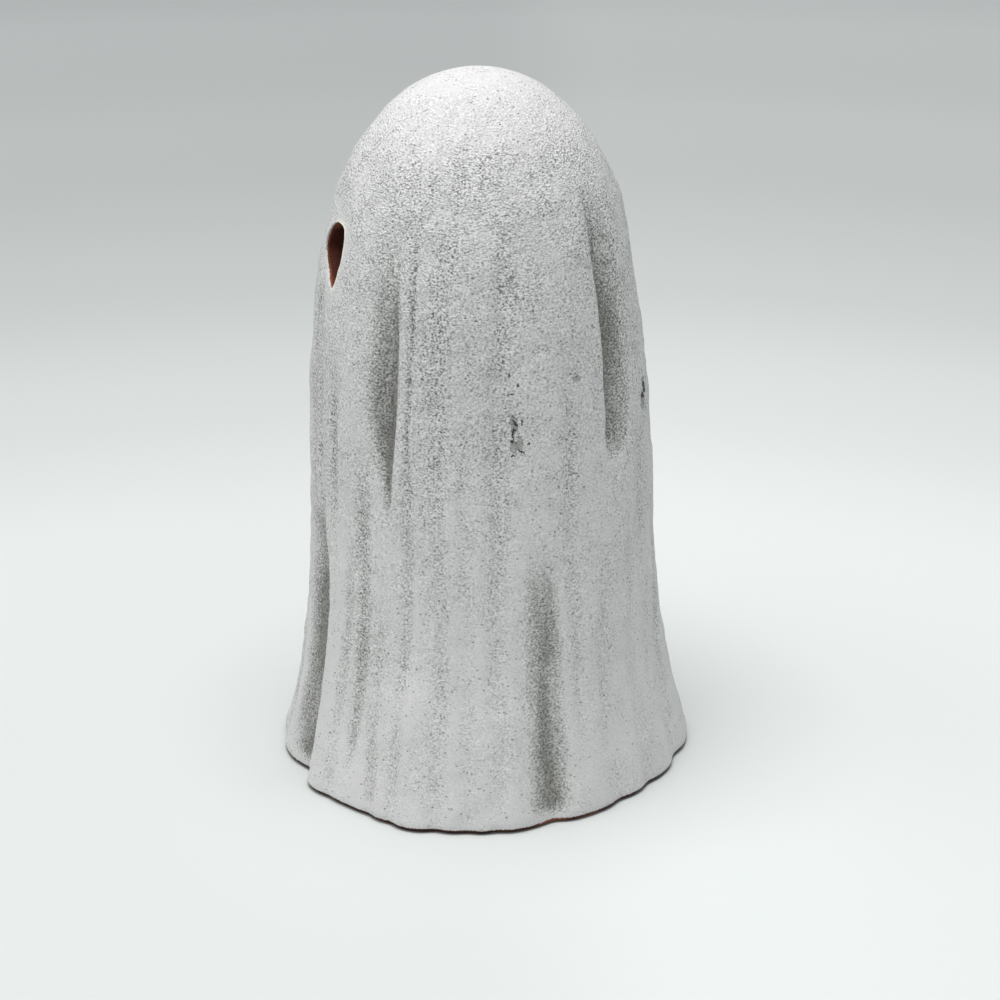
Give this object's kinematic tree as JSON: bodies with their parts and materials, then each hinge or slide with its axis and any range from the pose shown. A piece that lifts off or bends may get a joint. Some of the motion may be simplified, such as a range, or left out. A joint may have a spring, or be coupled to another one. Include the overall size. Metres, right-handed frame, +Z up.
{
  "type": "ceramic ghost figure",
  "caption": "Hollow terracotta ghost in a draped sheet with a gritty white coat and cut-through eyes, standing over a loose flameless tea light that shines out of them.",
  "frame": {"origin": "on the table, in the middle of the box around the ghost's hem", "axes": "+Z up, the ghost faces -Y, its left side is +X"},
  "size_m": [0.0863, 0.0836, 0.14],
  "materials": {
    "white_coated_clay": "matt gritty white coat with grey wash over red-brown terracotta",
    "cup_plastic": "satin moulded",
    "flame_plastic": "frosted translucent",
    "lamp_resin": "clear cast",
    "tinned_wire": "tinned",
    "tray_plastic": "satin moulded",
    "plate_plastic": "satin moulded",
    "cell_steel": "satin",
    "spring_metal": "nickel plated strip",
    "switch_plastic": "fine spark texture"
  },
  "bodies": {
    "tealight": {"tealight_cup": "cup_plastic", "flame_diffuser": "flame_plastic", "led": "lamp_resin", "led_legs": "tinned_wire", "battery_tray": "tray_plastic", "base_plate": "plate_plastic", "coin_cell": "cell_steel", "positive_clip": "spring_metal", "negative_spring": "spring_metal", "switch_contact": "spring_metal"},
    "ghost": {"ghost_body": "white_coated_clay"},
    "switch": {"switch_slider": "switch_plastic", "switch_wiper": "spring_metal"},
    "battery_door": {"battery_door": "plate_plastic"}
  },
  "joints": [
    {"name": "ghost_lift", "type": "slide", "parent": "tealight", "child": "ghost", "axis": [0, 0, 1], "range_m": [0, 0.06]},
    {"name": "switch_slide", "type": "slide", "parent": "tealight", "child": "switch", "axis": [0, 1, 0], "range_m": [0, 0.0025]},
    {"name": "battery_door_turn", "type": "hinge", "parent": "tealight", "child": "battery_door", "pos_m": [0, 0, 0.002], "axis": [0, 0, -1], "range_deg": [0, 50]}
  ]
}
